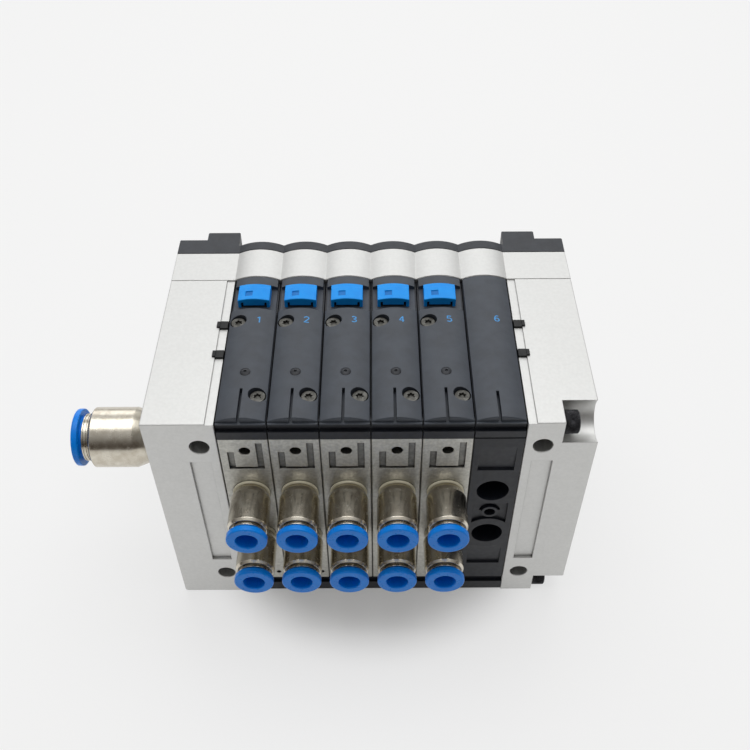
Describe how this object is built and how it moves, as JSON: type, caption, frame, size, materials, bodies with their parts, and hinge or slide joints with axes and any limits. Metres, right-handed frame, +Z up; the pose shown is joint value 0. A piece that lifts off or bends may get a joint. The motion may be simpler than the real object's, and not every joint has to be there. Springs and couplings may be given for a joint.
{
  "type": "pneumatic valve island",
  "caption": "Valve island: valve slices and a blanking slice between two end plates, with push-in tube fittings on the front and the left end and a rear connector.",
  "frame": {"origin": "centre of the four mounting holes, on the plane of the rear feet", "axes": "+X to the right along the row of slices seen from the ports, +Y from the ports towards the mounting surface, +Z up"},
  "size_m": [0.1894, 0.1285, 0.1113],
  "materials": {
    "anodised_aluminium": "clear anodised, satin",
    "die_cast_metal": "die-cast, blasted",
    "nickel_plated_brass": "nickel plated, polished",
    "steel": "zinc plated",
    "black_steel": "black oxide",
    "contact_metal": "gold flashed",
    "black_plastic": "fine moulded texture",
    "cover_plastic": "fine moulded texture",
    "clip_plastic": "smooth moulded",
    "blue_plastic": "smooth moulded",
    "seal_plastic": "smooth moulded",
    "rubber": "plain"
  },
  "bodies": {
    "island": {"base_rail": "black_plastic", "blanking_body": "black_plastic", "blanking_cover": "cover_plastic", "connector_insert": "black_plastic", "connector_pins": "contact_metal", "connector_shell": "steel", "cover_screws": "steel", "grip_rings": "steel", "interface_block": "anodised_aluminium", "latch_tabs": "black_plastic", "left_end_plate": "anodised_aluminium", "override_clip_1": "clip_plastic", "override_clip_2": "clip_plastic", "override_clip_3": "clip_plastic", "override_clip_4": "clip_plastic", "override_clip_5": "clip_plastic", "pilot_block_1": "black_plastic", "pilot_block_2": "black_plastic", "pilot_block_3": "black_plastic", "pilot_block_4": "black_plastic", "pilot_block_5": "black_plastic", "port_fittings_1": "nickel_plated_brass", "port_fittings_2": "nickel_plated_brass", "port_fittings_3": "nickel_plated_brass", "port_fittings_4": "nickel_plated_brass", "port_fittings_5": "nickel_plated_brass", "rear_housing": "black_plastic", "rear_screws": "steel", "right_end_plate": "anodised_aluminium", "seat_seals": "seal_plastic", "slice_gaskets": "rubber", "supply_fitting": "nickel_plated_brass", "tie_rods": "black_steel", "tube_seals": "rubber", "valve_body_1": "die_cast_metal", "valve_body_2": "die_cast_metal", "valve_body_3": "die_cast_metal", "valve_body_4": "die_cast_metal", "valve_body_5": "die_cast_metal", "valve_cover_1": "cover_plastic", "valve_cover_2": "cover_plastic", "valve_cover_3": "cover_plastic", "valve_cover_4": "cover_plastic", "valve_cover_5": "cover_plastic"},
    "release_ring_1_lower": {"release_ring_1_lower": "blue_plastic"},
    "release_ring_1_upper": {"release_ring_1_upper": "blue_plastic"},
    "release_ring_2_lower": {"release_ring_2_lower": "blue_plastic"},
    "release_ring_2_upper": {"release_ring_2_upper": "blue_plastic"},
    "release_ring_3_lower": {"release_ring_3_lower": "blue_plastic"},
    "release_ring_3_upper": {"release_ring_3_upper": "blue_plastic"},
    "release_ring_4_lower": {"release_ring_4_lower": "blue_plastic"},
    "release_ring_4_upper": {"release_ring_4_upper": "blue_plastic"},
    "release_ring_5_lower": {"release_ring_5_lower": "blue_plastic"},
    "release_ring_5_upper": {"release_ring_5_upper": "blue_plastic"},
    "supply_release_ring": {"supply_release_ring": "blue_plastic"},
    "override_button_1": {"override_button_1": "black_plastic"},
    "override_button_2": {"override_button_2": "black_plastic"},
    "override_button_3": {"override_button_3": "black_plastic"},
    "override_button_4": {"override_button_4": "black_plastic"},
    "override_button_5": {"override_button_5": "black_plastic"}
  },
  "joints": [
    {"name": "release_ring_1_lower_press", "type": "slide", "parent": "island", "child": "release_ring_1_lower", "axis": [0, 1, 0], "range_m": [0, 0.001], "stiffness_N_per_m": 2500, "springref_m": -0.0005},
    {"name": "release_ring_1_upper_press", "type": "slide", "parent": "island", "child": "release_ring_1_upper", "axis": [0, 1, 0], "range_m": [0, 0.001], "stiffness_N_per_m": 2500, "springref_m": -0.0005},
    {"name": "release_ring_2_lower_press", "type": "slide", "parent": "island", "child": "release_ring_2_lower", "axis": [0, 1, 0], "range_m": [0, 0.001], "stiffness_N_per_m": 2500, "springref_m": -0.0005},
    {"name": "release_ring_2_upper_press", "type": "slide", "parent": "island", "child": "release_ring_2_upper", "axis": [0, 1, 0], "range_m": [0, 0.001], "stiffness_N_per_m": 2500, "springref_m": -0.0005},
    {"name": "release_ring_3_lower_press", "type": "slide", "parent": "island", "child": "release_ring_3_lower", "axis": [0, 1, 0], "range_m": [0, 0.001], "stiffness_N_per_m": 2500, "springref_m": -0.0005},
    {"name": "release_ring_3_upper_press", "type": "slide", "parent": "island", "child": "release_ring_3_upper", "axis": [0, 1, 0], "range_m": [0, 0.001], "stiffness_N_per_m": 2500, "springref_m": -0.0005},
    {"name": "release_ring_4_lower_press", "type": "slide", "parent": "island", "child": "release_ring_4_lower", "axis": [0, 1, 0], "range_m": [0, 0.001], "stiffness_N_per_m": 2500, "springref_m": -0.0005},
    {"name": "release_ring_4_upper_press", "type": "slide", "parent": "island", "child": "release_ring_4_upper", "axis": [0, 1, 0], "range_m": [0, 0.001], "stiffness_N_per_m": 2500, "springref_m": -0.0005},
    {"name": "release_ring_5_lower_press", "type": "slide", "parent": "island", "child": "release_ring_5_lower", "axis": [0, 1, 0], "range_m": [0, 0.001], "stiffness_N_per_m": 2500, "springref_m": -0.0005},
    {"name": "release_ring_5_upper_press", "type": "slide", "parent": "island", "child": "release_ring_5_upper", "axis": [0, 1, 0], "range_m": [0, 0.001], "stiffness_N_per_m": 2500, "springref_m": -0.0005},
    {"name": "supply_release_ring_press", "type": "slide", "parent": "island", "child": "supply_release_ring", "axis": [1, 0, 0], "range_m": [0, 0.0009], "stiffness_N_per_m": 3500, "springref_m": -0.0005},
    {"name": "override_button_1_press", "type": "slide", "parent": "island", "child": "override_button_1", "axis": [0, 0, -1], "range_m": [0, 0.001], "stiffness_N_per_m": 2500, "springref_m": -0.001},
    {"name": "override_button_2_press", "type": "slide", "parent": "island", "child": "override_button_2", "axis": [0, 0, -1], "range_m": [0, 0.001], "stiffness_N_per_m": 2500, "springref_m": -0.001},
    {"name": "override_button_3_press", "type": "slide", "parent": "island", "child": "override_button_3", "axis": [0, 0, -1], "range_m": [0, 0.001], "stiffness_N_per_m": 2500, "springref_m": -0.001},
    {"name": "override_button_4_press", "type": "slide", "parent": "island", "child": "override_button_4", "axis": [0, 0, -1], "range_m": [0, 0.001], "stiffness_N_per_m": 2500, "springref_m": -0.001},
    {"name": "override_button_5_press", "type": "slide", "parent": "island", "child": "override_button_5", "axis": [0, 0, -1], "range_m": [0, 0.001], "stiffness_N_per_m": 2500, "springref_m": -0.001}
  ]
}
